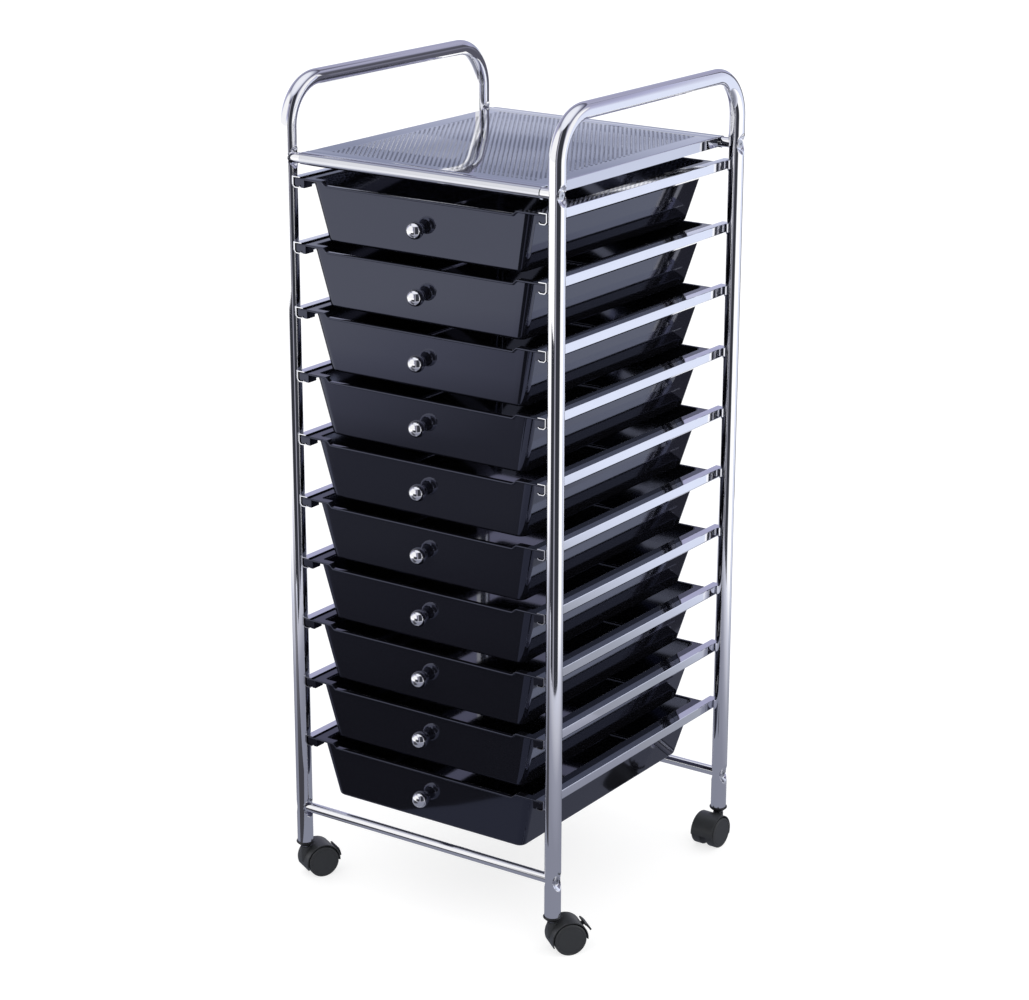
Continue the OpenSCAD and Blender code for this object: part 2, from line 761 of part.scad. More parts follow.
module axle_front_right() centred() at_leg(1, -1, turn_front_right) axle();
module axle_rear_left() centred() at_leg(-1, 1, turn_rear_left) axle();
module axle_rear_right() centred() at_leg(1, 1, turn_rear_right) axle();
module wheel_front_left_a() centred() at_leg(-1, -1, turn_front_left) wheel(1);
module wheel_front_left_b() centred() at_leg(-1, -1, turn_front_left) wheel(-1);
module wheel_front_right_a() centred() at_leg(1, -1, turn_front_right) wheel(1);
module wheel_front_right_b() centred() at_leg(1, -1, turn_front_right) wheel(-1);
module wheel_rear_left_a() centred() at_leg(-1, 1, turn_rear_left) wheel(1);
module wheel_rear_left_b() centred() at_leg(-1, 1, turn_rear_left) wheel(-1);
module wheel_rear_right_a() centred() at_leg(1, 1, turn_rear_right) wheel(1);
module wheel_rear_right_b() centred() at_leg(1, 1, turn_rear_right) wheel(-1);
module brake_lever_left() centred() at_leg(-1, -1, turn_front_left) lever(0);
module brake_lever_right() centred() at_leg(1, -1, turn_front_right) lever(lever_up);

side_frame_left();
side_frame_right();
runners_left();
runners_right();
top_cross_tube_front();
top_cross_tube_rear();
bottom_cross_tube_front();
bottom_cross_tube_rear();
top_shelf();
frame_screws();
caster_sockets();
caster_stems();
drawer_01();
drawer_02();
drawer_03();
drawer_04();
drawer_05();
drawer_06();
drawer_07();
drawer_08();
drawer_09();
drawer_10();
knob_01();
knob_02();
knob_03();
knob_04();
knob_05();
knob_06();
knob_07();
knob_08();
knob_09();
knob_10();
knob_screw_01();
knob_screw_02();
knob_screw_03();
knob_screw_04();
knob_screw_05();
knob_screw_06();
knob_screw_07();
knob_screw_08();
knob_screw_09();
knob_screw_10();
caster_housing_front_left();
caster_housing_front_right();
caster_housing_rear_left();
caster_housing_rear_right();
axle_front_left();
axle_front_right();
axle_rear_left();
axle_rear_right();
wheel_front_left_a();
wheel_front_left_b();
wheel_front_right_a();
wheel_front_right_b();
wheel_rear_left_a();
wheel_rear_left_b();
wheel_rear_right_a();
wheel_rear_right_b();
brake_lever_left();
brake_lever_right();
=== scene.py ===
import math

import bpy
import numpy as np
from mathutils import Matrix, Vector

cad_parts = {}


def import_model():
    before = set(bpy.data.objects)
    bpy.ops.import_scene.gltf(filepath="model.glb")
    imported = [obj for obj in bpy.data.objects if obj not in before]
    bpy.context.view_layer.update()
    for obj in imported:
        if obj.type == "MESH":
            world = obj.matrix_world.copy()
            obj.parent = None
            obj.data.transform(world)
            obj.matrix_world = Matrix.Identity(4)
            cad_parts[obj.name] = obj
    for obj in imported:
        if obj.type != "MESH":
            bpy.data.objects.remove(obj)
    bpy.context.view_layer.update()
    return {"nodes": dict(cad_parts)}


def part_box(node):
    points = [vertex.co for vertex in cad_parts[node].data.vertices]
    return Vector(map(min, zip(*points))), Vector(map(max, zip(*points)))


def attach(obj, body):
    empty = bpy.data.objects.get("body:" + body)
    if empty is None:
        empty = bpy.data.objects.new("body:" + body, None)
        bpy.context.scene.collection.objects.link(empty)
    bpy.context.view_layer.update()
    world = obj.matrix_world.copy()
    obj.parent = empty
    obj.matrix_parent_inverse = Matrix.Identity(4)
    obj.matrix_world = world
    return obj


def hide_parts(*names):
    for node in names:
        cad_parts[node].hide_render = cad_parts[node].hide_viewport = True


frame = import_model()
MM = 0.001

# The cart's own axes: between the legs in x and y, the floor at z = 0
LEFT, RIGHT = (np.array(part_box("side_frame_" + s)) for s in ("left", "right"))
X0 = (LEFT[0][0] + RIGHT[1][0]) / 2
Y0 = (LEFT[0][1] + LEFT[1][1]) / 2
LEG_R = (LEFT[1][0] - LEFT[0][0]) / 2
LEG_X = (RIGHT[0][0] + RIGHT[1][0]) / 2 - X0
LEG_Y = (LEFT[1][1] - LEFT[0][1]) / 2 - LEG_R
LEG_Z = LEFT[0][2]
TOP_Z = LEFT[1][2]
TRAYS = ["%02d" % k for k in range(1, 11)]


def extent(node):
    b = np.array(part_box(node))
    return b[0] - (X0, Y0, 0), b[1] - (X0, Y0, 0)


# Height of one runner, and the step from each runner to the next
RUN_H = 12.7 * MM
RUN_LOW, RUN_TOP = (b[2] for b in extent("runners_right"))
PITCH = (RUN_TOP - RUN_LOW - RUN_H) / (len(TRAYS) - 1)


# Meshes


class Shape:
    """Vertices and faces of one piece, in the cart's own axes"""

    def __init__(self):
        self.verts, self.faces, self.count = [], [], 0

    def add(self, verts, faces):
        self.verts.append(np.asarray(verts, float))
        self.faces += [[i + self.count for i in face] for face in faces]
        self.count += len(verts)
        return self

    def loft(self, rings, closed=True):
        """Joins rings of equally many points and closes the two ends"""
        rings = [np.asarray(ring, float) for ring in rings]
        size, last = len(rings[0]), len(rings) - 1
        faces = []
        for start in range(0, last * size, size):
            for i in range(size):
                j = (i + 1) % size
                faces.append([start + i, start + j, start + size + j, start + size + i])
        if closed:
            faces.append(list(range(size))[::-1])
            faces.append([last * size + i for i in range(size)])
        return self.add(np.concatenate(rings), faces)

    def build(self, name, body, look, nodes, sharp=30, at=(0, 0, 0)):
        """Makes the object, which rides on its body and stands for its CAD nodes"""
        mesh = bpy.data.meshes.new(name)
        verts = np.concatenate(self.verts) + (X0, Y0, 0) + np.array(at)
        mesh.from_pydata(verts.tolist(), [], self.faces)
        mesh.validate()
        mesh.shade_smooth()
        mesh.set_sharp_from_angle(angle=math.radians(sharp))
        mesh.materials.append(look)
        obj = bpy.data.objects.new(name, mesh)
        bpy.context.collection.objects.link(obj)
        flat = obj.modifiers.new("flat_faces", "WEIGHTED_NORMAL")
        flat.keep_sharp = True
        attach(obj, body)
        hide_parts(*nodes)
        return obj


def circle(r, n=48):
    t = np.arange(n) / n * 2 * math.pi
    return np.stack([r * np.cos(t), r * np.sin(t)], 1)


def put(points, origin, u, v):
    """Plane points as space points: origin + a u + b v"""
    p = np.asarray(points, float)
    return np.asarray(origin, float) + p[:, :1] * np.asarray(u, float) + p[:, 1:] * np.asarray(v, float)


def rounded(points, radii, steps=4):
    """Closed polygon with each corner rounded by its own radius"""
    out = []
    n = len(points)
    for i, r in enumerate(np.broadcast_to(radii, n)):
        corner = np.array(points[i], float)
        back = np.array(points[i - 1], float) - corner
        ahead = np.array(points[(i + 1) % n], float) - corner
        back_length, ahead_length = np.linalg.norm(back), np.linalg.norm(ahead)
        half = math.acos(max(-1, min(1, back @ ahead / back_length / ahead_length))) / 2
        # a corner takes less than half of each edge beside it
        cut = min(r / math.tan(half), back_length * 0.45, ahead_length * 0.45)
        start, end = corner + back / back_length * cut, corner + ahead / ahead_length * cut
        for t in np.linspace(0, 1, steps):
            out.append((1 - t) ** 2 * start + 2 * t * (1 - t) * corner + t * t * end)
    return np.array(out)


def turned(shape, profile, origin, axis, n=64):
    """Solid turned about an axis; the profile gives radius and height along it"""
    w = Vector(axis).normalized()
    u = w.orthogonal().normalized()
    v = w.cross(u)
    rings = [put(circle(max(r, 1e-6), n), np.array(origin) + np.array(w) * h, u, v) for r, h in profile]
    return shape.loft(rings)


# Materials


def material(name, colour, metallic, rough, spec=0.5, tint=(1, 1, 1), vary=0.04, scale=60, bump=0.02):
    """A shader with uneven roughness and colour at the size the surface shows them"""
    made = bpy.data.materials.new(name)
    made.use_nodes = True
    tree = made.node_tree
    shader = tree.nodes["Principled BSDF"]
    shader.inputs["Metallic"].default_value = metallic
    shader.inputs["Specular IOR Level"].default_value = spec
    shader.inputs["Specular Tint"].default_value = (*tint, 1)
    coords = tree.nodes.new("ShaderNodeTexCoord")
    noise = tree.nodes.new("ShaderNodeTexNoise")
    noise.inputs["Scale"].default_value = scale
    noise.inputs["Detail"].default_value = 4
    tree.links.new(coords.outputs["Object"], noise.inputs["Vector"])
    uneven = tree.nodes.new("ShaderNodeMapRange")
    uneven.inputs["To Min"].default_value = rough * (1 - 6 * vary)
    uneven.inputs["To Max"].default_value = rough * (1 + 6 * vary)
    tree.links.new(noise.outputs["Fac"], uneven.inputs["Value"])
    tree.links.new(uneven.outputs["Result"], shader.inputs["Roughness"])
    mix = tree.nodes.new("ShaderNodeMix")
    mix.data_type = "RGBA"
    mix.inputs[6].default_value = tuple(c * (1 - vary) for c in colour) + (1,)
    mix.inputs[7].default_value = tuple(min(1, c * (1 + vary)) for c in colour) + (1,)
    tree.links.new(noise.outputs["Fac"], mix.inputs[0])
    tree.links.new(mix.outputs[2], shader.inputs["Base Color"])
    if bump:
        bumps = tree.nodes.new("ShaderNodeBump")
        bumps.inputs["Strength"].default_value = bump
        bumps.inputs["Distance"].default_value = 0.0005
        tree.links.new(noise.outputs["Fac"], bumps.inputs["Height"])
        tree.links.new(bumps.outputs["Normal"], shader.inputs["Normal"])
    return made


CHROME = material("bright_chrome", (0.90, 0.90, 0.93), 1.0, 0.05, vary=0.02, scale=25, bump=0)
RUNNER = material("runner_chrome", (0.90, 0.91, 0.95), 1.0, 0.07, vary=0.03, scale=30, bump=0.01)
SHEET = material("sheet_chrome", (0.70, 0.71, 0.76), 1.0, 0.035, vary=0.03, scale=18, bump=0)
BALL = material("ball_chrome", (0.90, 0.90, 0.93), 1.0, 0.035, vary=0.02, scale=80, bump=0)
ZINC = material("zinc_steel", (0.60, 0.61, 0.64), 1.0, 0.28, scale=300)
SMOKE = material("smoke_plastic", (0.005, 0.005, 0.007), 0.0, 0.06, spec=1.0, tint=(0.66, 0.71, 1.0),
                 vary=0.03, scale=35, bump=0.012)
CASTER = material("grey_moulding", (0.036, 0.038, 0.041), 0.0, 0.42, vary=0.05, scale=900, bump=0.12)
BLACK = material("black_moulding", (0.012, 0.012, 0.013), 0.0, 0.36, vary=0.05, scale=900, bump=0.1)


# Side frames: one bent tube each, pressed in at the cross tubes

CROSS = [extent("bottom_cross_tube_front"), extent("top_cross_tube_front")]
CROSS_Z = [(b[0][2] + b[1][2]) / 2 for b in CROSS]
CROSS_R = (CROSS[0][1][2] - CROSS[0][0][2]) / 2
BEND_R = 50 * MM
TUBE_WALL = 1.2 * MM
# Each dent's depth, the radius that it reaches, the width of its slope, and the length with closer rings
DENT = 6 * MM
DENT_R = 13 * MM
DENT_SLOPE = 7.5 * MM
DENT_SPAN = 16 * MM
# How far up the leg its open end is drawn inside
OPEN_END = 12 * MM


def pressed(ring, x, y, z):
    """Presses the wall in on both sides of the leg beside a cross tube, deepest at the tube's own line"""
    for cz in CROSS_Z:
        far = np.hypot(ring[:, 1] - y, z - cz)
        share = np.clip((DENT_R - far) / DENT_SLOPE, 0, 1)
        limit = LEG_R - DENT * share * share * (3 - 2 * share)
        ring[:, 0] = x + np.clip(ring[:, 0] - x, -limit, limit)
    return ring


def side_frame(side, sign):
    bend_z = TOP_Z - LEG_R - BEND_R
    x = sign * LEG_X
    # y and z along the tube with the outward direction there, from the front leg's foot to the middle
    zs = [np.linspace(LEG_Z, bend_z, 60)] + [np.linspace(z - DENT_SPAN, z + DENT_SPAN, 33) for z in CROSS_Z]
    half = [(-LEG_Y, z, -1, 0) for z in np.unique(np.concatenate(zs))]
    for t in np.linspace(0, math.pi / 2, 25)[1:]:
        cos_t, sin_t = math.cos(t), math.sin(t)
        half.append((-LEG_Y + BEND_R * (1 - cos_t), bend_z + BEND_R * sin_t, -cos_t, sin_t))
    rings = []
    for y, z, ny, nz in half + [(-y, z, -ny, nz) for y, z, ny, nz in half[::-1]]:
        ring = put(circle(LEG_R, 64), (x, y, z), (sign, 0, 0), (0, ny, nz))
        rings.append(pressed(ring, x, y, z) if z < bend_z else ring)
    shape = Shape().loft(rings, False)
    # the open leg ends show the tube's wall
    inner = LEG_R - TUBE_WALL
    for y in (-LEG_Y, LEG_Y):
        shape.loft([put(circle(r, 64), (x, y, z), (sign, 0, 0), (0, math.copysign(1, y), 0))
                    for r, z in ((LEG_R, LEG_Z), (inner, LEG_Z), (inner, LEG_Z + OPEN_END))], False)
    shape.build("bent_tube_" + side, "frame", CHROME, ["side_frame_" + side], 40)


for side, sign in (("left", -1), ("right", 1)):
    side_frame(side, sign)


# Cross tubes

for level, z in zip(("bottom", "top"), CROSS_Z):
    for end, y in (("front", -LEG_Y), ("rear", LEG_Y)):
        node = "%s_cross_tube_%s" % (level, end)
        half = extent(node)[1][0]
        profile = [(CROSS_R - 1 * MM, -half), (CROSS_R, -half + 0.4 * MM)]
        profile += [(CROSS_R, h) for h in np.linspace(-half + 6 * MM, half - 6 * MM, 9)]
        profile += [(CROSS_R, half - 0.4 * MM), (CROSS_R - 1 * MM, half)]
        turned(Shape(), profile, (0, y, z), (1, 0, 0)).build(level + "_tube_" + end, "frame", CHROME, [node])


# Runners: folded steel sections, coped where they sit against a leg

WEB_X, RUN_Y = extent("runners_right")[1][:2]
# u inward from the web, z from the top, corner radius
RUNNER_SECTION = [(0, 0, 0.9), (0, -10.2, 1.2), (2.5, -12.7, 1.2), (8.6, -12.7, 0.8), (10.2, -11.1, 0.3),
                  (9.5, -10.4, 0.3), (8.2, -11.7, 0.3), (2.9, -11.7, 0.3), (1, -9.8, 0.4), (1, -1, 0.4),
                  (10.3, -1, 0.3), (10.3, 0, 0.45)]


def runners(side, sign):
    section = rounded([p[:2] for p in RUNNER_SECTION], [p[2] for p in RUNNER_SECTION]) * MM
    ends = np.linspace(LEG_Y - LEG_R, RUN_Y, 10)
    shape = Shape()
    for k in range(len(TRAYS)):
        rings = []
        for y in np.concatenate([-ends[::-1], [-0.1, -0.05, 0, 0.05, 0.1], ends]):
            ring = put(section, (sign * WEB_X, y, RUN_TOP - k * PITCH), (-sign, 0, 0), (0, 0, 1))
            gap = abs(y) - LEG_Y
            if abs(gap) < LEG_R:
                ring[:, 0] = sign * np.minimum(sign * ring[:, 0], LEG_X - math.sqrt(LEG_R ** 2 - gap ** 2))
            rings.append(ring)
        shape.loft(rings)
    shape.build("folded_runners_" + side, "frame", RUNNER, ["runners_" + side])


for side, sign in (("left", -1), ("right", 1)):
    runners(side, sign)


# Top shelf: perforated sheet, folded down at the sides and rolled round the cross tubes

SHELF_LOW, SHELF_TOP = (b[2] for b in extent("top_shelf"))
SHELF_HALF = extent("top_shelf")[1][0]
SHELF_T = 0.8 * MM
HOLE_R = 1.5 * MM
HOLE_DX = 6.0 * MM
HOLE_DY = 4.7 * MM
HOLES_X, HOLES_Y = 46, 69
FOLD_R = 1.6 * MM
FOLD_EDGE = 2 * MM
ROLL_R = SHELF_TOP - CROSS_Z[1]
ROLL_FROM = LEG_Y - 10 * MM
# The crease before the roll, from the leg's line and from the top
CREASE_Y, CREASE_Z = 5.5 * MM, 0.3 * MM
# How far the sheet sags, and the height of its slight waves
SAG, WAVE = 0.35 * MM, 0.22 * MM
CORNERS_8 = np.array([(1, 0), (1, 1), (0, 1), (-1, 1), (-1, 0), (-1, -1), (0, -1), (1, -1)])


def slab(shape, x1, x2, y1, y2):
    """Plain piece of the sheet"""
    corners = np.array([(x1, y1), (x2, y1), (x2, y2), (x1, y2)])
    shape.loft([np.column_stack([corners, np.full(4, z)]) for z in (SHELF_TOP - SHELF_T, SHELF_TOP)])


def strip(shape, line, place, low, high):
    """Sheet that follows a line from low to high; place turns along, across and z into a point"""
    points = np.array(line)
    way = np.gradient(points, axis=0)
    way /= np.linalg.norm(way, axis=1)[:, None]
    offset = points + np.stack([way[:, 1], -way[:, 0]], 1) * SHELF_T * (1 if way[0][0] > 0 else -1)
    ring = np.concatenate([points, offset[::-1]])
    shape.loft([[place(end, across, z) for across, z in ring] for end in (low, high)])


def perforated(shape, x_lo, y_lo):
    """Cells of sheet round staggered holes"""
    outer = CORNERS_8 * (HOLE_DX / 2, HOLE_DY / 2)
    inner = outer / np.linalg.norm(outer, axis=1)[:, None] * HOLE_R
    cell = np.concatenate([outer, inner])
    # top face, bottom face and the hole's wall; points 0-7 outer, 8-15 inner, then the same below
    faces = []
    for a in range(8):
        b = (a + 1) % 8
        faces += [[b, 8 + b, 8 + a, a], [16 + a, 24 + a, 24 + b, 16 + b], [8 + b, 24 + b, 24 + a, 8 + a]]
    for j in range(HOLES_Y):
        odd = j % 2
        y = y_lo + (j + 0.5) * HOLE_DY
        xs = x_lo + (np.arange(HOLES_X - odd) + 0.5 + odd / 2) * HOLE_DX
        for x in xs:
            shape.add(np.concatenate([np.column_stack([cell + (x, y), np.full(16, z)])
                                      for z in (SHELF_TOP, SHELF_TOP - SHELF_T)]), faces)
        if odd:
            for x1 in (x_lo, -x_lo - HOLE_DX / 2):
                slab(shape, x1, x1 + HOLE_DX / 2, y - HOLE_DY / 2, y + HOLE_DY / 2)


def shelf():
    x_lo, y_lo = -HOLES_X * HOLE_DX / 2, -HOLES_Y * HOLE_DY / 2
    flat = SHELF_HALF - FOLD_R
    shape = Shape()
    perforated(shape, x_lo, y_lo)
    quarter = np.linspace(0, math.pi / 2, 6)
    round_tube = np.linspace(0, math.pi * 1.15, 20)
    for sign in (-1, 1):
        slab(shape, *sorted((sign * -x_lo, sign * flat)), y_lo, -y_lo)
        slab(shape, -flat, flat, *sorted((sign * -y_lo, sign * ROLL_FROM)))
        # folded side
        line = [(flat + FOLD_R * math.sin(t), SHELF_TOP - FOLD_R + FOLD_R * math.cos(t)) for t in quarter]
        line.append((SHELF_HALF, SHELF_LOW + FOLD_EDGE))
        strip(shape, line, lambda end, across, z: (sign * across, end, z), -ROLL_FROM, ROLL_FROM)
        # front or rear edge, with a light crease before the roll
        line = [(ROLL_FROM, SHELF_TOP), (LEG_Y - CREASE_Y, SHELF_TOP - CREASE_Z)]
        line += [(LEG_Y + ROLL_R * math.sin(t), CROSS_Z[1] + ROLL_R * math.cos(t)) for t in round_tube]
        strip(shape, line, lambda end, across, z: (end, sign * across, z), -SHELF_HALF, SHELF_HALF)
    # the sheet is never quite flat, so what it mirrors bends a little
    for verts in shape.verts:
        x, y = verts[:, 0] / SHELF_HALF, verts[:, 1] / LEG_Y
        inside = np.clip((1 - np.abs(y)) * 8, 0, 1) * np.clip((1 - np.abs(x)) * 8, 0, 1)
        sag = SAG * np.cos(1.57 * x) * np.cos(1.57 * y)
        verts[:, 2] -= inside * (sag + WAVE * np.sin(4.1 * x + 1) * np.cos(4.4 * y + 0.6) + WAVE)
    shape.build("perforated_shelf", "frame", SHEET, ["top_shelf"], 40)


shelf()


# Drawers: tapered tubs with flanges on the sides, a dropped front rim and guide blocks.
# Lengths from here on are in mm, heights from the top of the runner.

TRAY_LOW, TRAY_HIGH = (b / MM for b in extent("drawer_01"))
RIM = TRAY_HIGH[0]
BODY = RIM - 19
CORNER = 10.0
Y_RIM, Y_BACK = TRAY_LOW[1], TRAY_HIGH[1]
Y_FACE = Y_RIM + 3.7
Y_WALL = Y_BACK - 1.5
EDGE = TRAY_HIGH[2] - RUN_TOP / MM
BASE = TRAY_LOW[2] - RUN_TOP / MM
WALL, FLANGE, DROP = 2.0, 2.2, 4.5
MID_Z = -40
FLOOR_OUT, FLOOR_IN = 3.2, 2.6
RAMP_OUT = BODY - 18
RAMP_IN = RAMP_OUT - DROP * 1.5
EAR_Y = Y_FACE + 6
LEAN, LEAN_FRONT = math.tan(math.radians(13.5)), math.tan(math.radians(6))
KNOB_Z = -39.2
KNOB_R, KNOB_REACH, KNOB_NECK, KNOB_GAP = 9.8, 10.0, 4.5, 0.93
SEAT_R = 6.0
SEAT_Y = Y_FACE + (EDGE - KNOB_Z) * LEAN_FRONT
RAMP_X = [RAMP_OUT - f * (RAMP_OUT - RAMP_IN) for f in (0, 0.13, 0.37, 0.64, 0.87, 1)]
FRONT_X = np.array([-x for x in RAMP_X] + [-60, 0, 60] + RAMP_X[::-1])


def front_dip(x):
    """How much of the rim's drop a point of the front has, 0 at the corners and 1 in the middle"""
    t = min(1, max(0, (RAMP_OUT - abs(x)) / (RAMP_OUT - RAMP_IN)))
    return t * t * (3 - 2 * t)


def plan_ring(half, y0, y1, radius, z, drop=0.0, lean=0.0):
    """Rounded rectangle in plan; drop lowers the middle of its front edge along the leaning wall"""
    points = []
    for x in FRONT_X:
        dip = drop * front_dip(x)
        points.append((x * min(1, (half - radius) / (BODY - CORNER)), y0 + dip * lean, z - dip))
    corners = ((1, y0 + radius, -90), (1, y1 - radius, 0), (-1, y1 - radius, 90), (-1, y0 + radius, 180))
    for sx, cy, start in corners:
        for t in np.radians(start + np.linspace(0, 90, 9)):
            points.append((sx * (half - radius) + radius * math.cos(t), cy + radius * math.sin(t), z))
        if start == 0:
            points += [(x * (half - radius), y1, z) for x in (0.5, 0, -0.5)]
        elif start == -90:
            points += [(half, y0 + radius + (y1 - y0 - 2 * radius) * t, z) for t in (0.25, 0.5, 0.75)]
        elif start == 90:
            points += [(-half, y1 - radius - (y1 - y0 - 2 * radius) * t, z) for t in (0.25, 0.5, 0.75)]
    return np.array(points)


def wall(inset, z, extra=0.0, drop=0.0):
    """Ring on the tub's outer wall (inset 0) or inner wall (inset WALL) at height z"""
    below = EDGE - z
    side = inset + below * LEAN + extra
    return plan_ring(BODY - side, Y_FACE + inset + below * LEAN_FRONT + extra, Y_WALL - side,
                     CORNER - inset - extra * 0.6 - below * 0.02, z, drop, LEAN_FRONT)


def rim(inset, z, drop):
    return plan_ring(RIM - inset, Y_RIM + inset, Y_BACK - inset, 2.0, z, drop)


def tray():
    under = EDGE - FLANGE
    quarter = [(1 - math.cos(t), 1 - math.sin(t)) for t in np.linspace(0, math.pi / 2, 7)]
    # outside, from the floor up to the flange
    rings = [wall(0, BASE + FLOOR_OUT * up, FLOOR_OUT * inward) for up, inward in quarter]
    rings.append(wall(0, MID_Z))
    rings += [wall(0, under - below, -outward, DROP) for below, outward in ((1.2, 0), (0.3, 0.3), (0, 1.2))]
    # round the flange's edge
    for t in np.linspace(-math.pi / 2, math.pi / 2, 9):
        up = (0.2 + 0.9 * abs(math.sin(t))) * np.sign(t)
        rings.append(rim(0.9 - 0.9 * math.cos(t), EDGE - FLANGE / 2 + up, DROP))
    # inside, with the small shelves in the front corners
    for short, z in ((0.9, EDGE), (0.3, EDGE - 0.25), (0, EDGE - 0.9), (0, under), (0, under - 0.4)):
        level = wall(WALL - short, z, drop=DROP)
        if z >= under:
            level[(level[:, 1] < EAR_Y) & (np.abs(level[:, 0]) > RAMP_OUT - 1), 1] = EAR_Y
        rings.append(level)
    rings.append(wall(WALL, MID_Z))
    rings += [wall(WALL, BASE + WALL + FLOOR_IN * up, FLOOR_IN * inward) for up, inward in quarter[::-1]]
    shape = Shape().loft([level * MM for level in rings])
    for sign in (-1, 1):
        skirt_and_guide(shape, sign)
    # round seat for the knob, outside and inside the front wall
    for depth, height, direction in ((-2.0, 0.9, -1), (0, 3.2, 1)):
        profile = [(SEAT_R, depth), (SEAT_R, height - 0.3), (SEAT_R - 0.35, height), (0, height)]
        turned(shape, np.array(profile) * MM, (0, SEAT_Y * MM, KNOB_Z * MM), (0, direction, 0))
    return shape


def skirt_and_guide(shape, sign):
    """What hangs in the runner: a thin skirt and the block at the front corner"""
    x1, x2 = RIM - 4.5, RIM - 2.3
    skirt = rounded([(x1, EDGE - 1), (x2, EDGE - 1), (x2, -11.4), (x1, -11.4)], 0.6)
    shape.loft([put(skirt * MM, (0, y * MM, 0), (sign, 0, 0), (0, 0, 1)) for y in (Y_RIM + 7, Y_BACK - 0.5)])
    block = [(0, EDGE - 0.4), (0, -9.3), (1.6, -11.2), (6.3, -11.2), (7.9, -9.6), (8.9, -9.6), (8.9, -12.6),
             (13.7, -12.6), (13.7, EDGE - 0.4)]
    block = rounded([(RIM - u, z) for u, z in block], 0.7)
    mid = np.array([RIM - 7, -7])
    rings = []
    for y, scale in ((Y_RIM + 0.2, 0.94), (Y_RIM + 0.9, 1), (Y_RIM + 14, 1)):
        origin = (sign * mid[0] * MM, y * MM, mid[1] * MM)
        rings.append(put((block - mid) * scale * MM, origin, (sign, 0, 0), (0, 0, 1)))
    shape.loft(rings)


def knob():
    """Ball on a short neck"""
    profile = [(0, 0), (KNOB_NECK - 0.1, 0), (KNOB_NECK, 0.15), (KNOB_NECK, 0.9)]
    turns = np.linspace(math.asin(KNOB_NECK / KNOB_R) + 0.05, math.pi, 40)
    profile += [(KNOB_R * math.sin(t), KNOB_REACH - KNOB_R * math.cos(t)) for t in turns]
    return turned(Shape(), np.array(profile) * MM, (0, (SEAT_Y - KNOB_GAP) * MM, KNOB_Z * MM), (0, -1, 0))


for k, t in enumerate(TRAYS):
    at = (0, 0, RUN_TOP - k * PITCH)
    tray().build("tray_" + t, "tray_" + t, SMOKE, ["drawer_" + t], 35, at)
    knob().build("ball_knob_" + t, "tray_" + t, BALL, ["knob_" + t], 40, at)


# Casters: hoods with two wheels, and brake levers at the front.
# Each is made about its leg in mm, trailing along +x, then turned to the angle of its axle in the frame.

WHEEL_R = extent("wheel_front_left_a")[1][2] / 2 / MM
CAVITY_R = WHEEL_R + 1.2
HOOD_R = WHEEL_R + 2.6
WHEEL_IN, WHEEL_OUT = 4.6, 16.6
HOOD_W = WHEEL_OUT - 1.2
# The side of each leg in x and y, and the direction in which its caster trails, in degrees
CORNERS = {}
for sx, x_word in ((-1, "left"), (1, "right")):
    for sy, y_word in ((-1, "front"), (1, "rear")):
        axle = sum(extent("axle_%s_%s" % (y_word, x_word))) / 2 - (sx * LEG_X, sy * LEG_Y, 0)
        CORNERS[y_word + "_" + x_word] = (sx, sy, math.degrees(math.atan2(axle[1], axle[0])))
# All four casters trail by the same length
TRAIL = math.hypot(axle[0], axle[1]) / MM
PIN_X, PIN_Z = TRAIL + 12.2, WHEEL_R + 9.5
# The lever's tilt in degrees: the left one is pressed down
LEVER_UP = {"left": 0, "right": 24}
# Directions about the axle, in degrees, between which the hood and the plate inside it reach
HOOD_ARC = (-4, 202)
PLATE_ARC = (-3, 201)
PLATE_HALF = 4


def turn(points, corner):
    """Points of a caster in its place under a leg"""
    sx, sy, angle = CORNERS[corner]
    x, y, z = (np.asarray(points, float) * MM).T
    cos_a, sin_a = math.cos(math.radians(angle)), math.sin(math.radians(angle))
    return np.column_stack([sx * LEG_X + x * cos_a - y * sin_a, sy * LEG_Y + x * sin_a + y * cos_a, z])


def polar(r, deg, y=0.0):
    """Point at a radius and angle about the axle"""
    t = math.radians(deg)
    return TRAIL + r * math.cos(t), y, WHEEL_R + r * math.sin(t)


def round_at(r, y, x=TRAIL, z=WHEEL_R, n=72):
    """Circle across the axle's line"""
    return [(x + r * math.cos(t), y, z + r * math.sin(t)) for t in np.linspace(0, 2 * math.pi, n, False)]


def hood(name):
    """Cover over both wheels, the plate and hub between them, and the post that takes the stem"""
    shape = Shape()
    rings = []
    # y across the hood, and how far its edge is rounded off there
    edge = [(HOOD_W - 0.5, 0), (HOOD_W - 0.15, 0.2), (HOOD_W, 0.5)]
    for y, cut in [(-y, cut) for y, cut in edge[::-1]] + [(-8, 0), (0, 0), (8, 0)] + edge:
        angles = np.linspace(HOOD_ARC[0] + 2.2 * cut, HOOD_ARC[1] - 2.2 * cut, 49)
        outer = [polar(HOOD_R - cut, t, y) for t in angles]
        rings.append(turn(outer + [polar(CAVITY_R + cut, t, y) for t in angles[::-1]], name))
    shape.loft(rings)
    plate = np.linspace(*PLATE_ARC, 41)
    shape.loft([turn([polar(CAVITY_R + 0.5, t, y) for t in plate], name) for y in (-PLATE_HALF, PLATE_HALF)])
    shape.loft([turn(round_at(r, y), name) for r, y in ((6.0, -4.3), (6.5, -4.0), (6.5, 4.0), (6.0, 4.3))])
    post = ((5.4, WHEEL_R - 0.8), (6.3, WHEEL_R + 1), (6.3, 37.2), (6.0, 37.8), (5.6, 37.97), (3.2, 37.97),
            (3.1, 30))
    shape.loft([turn(np.column_stack([circle(r, 40), np.full(40, z)]), name) for r, z in post])
    shape.build("hood_" + name, "caster_" + name, CASTER, ["caster_housing_" + name], 32)


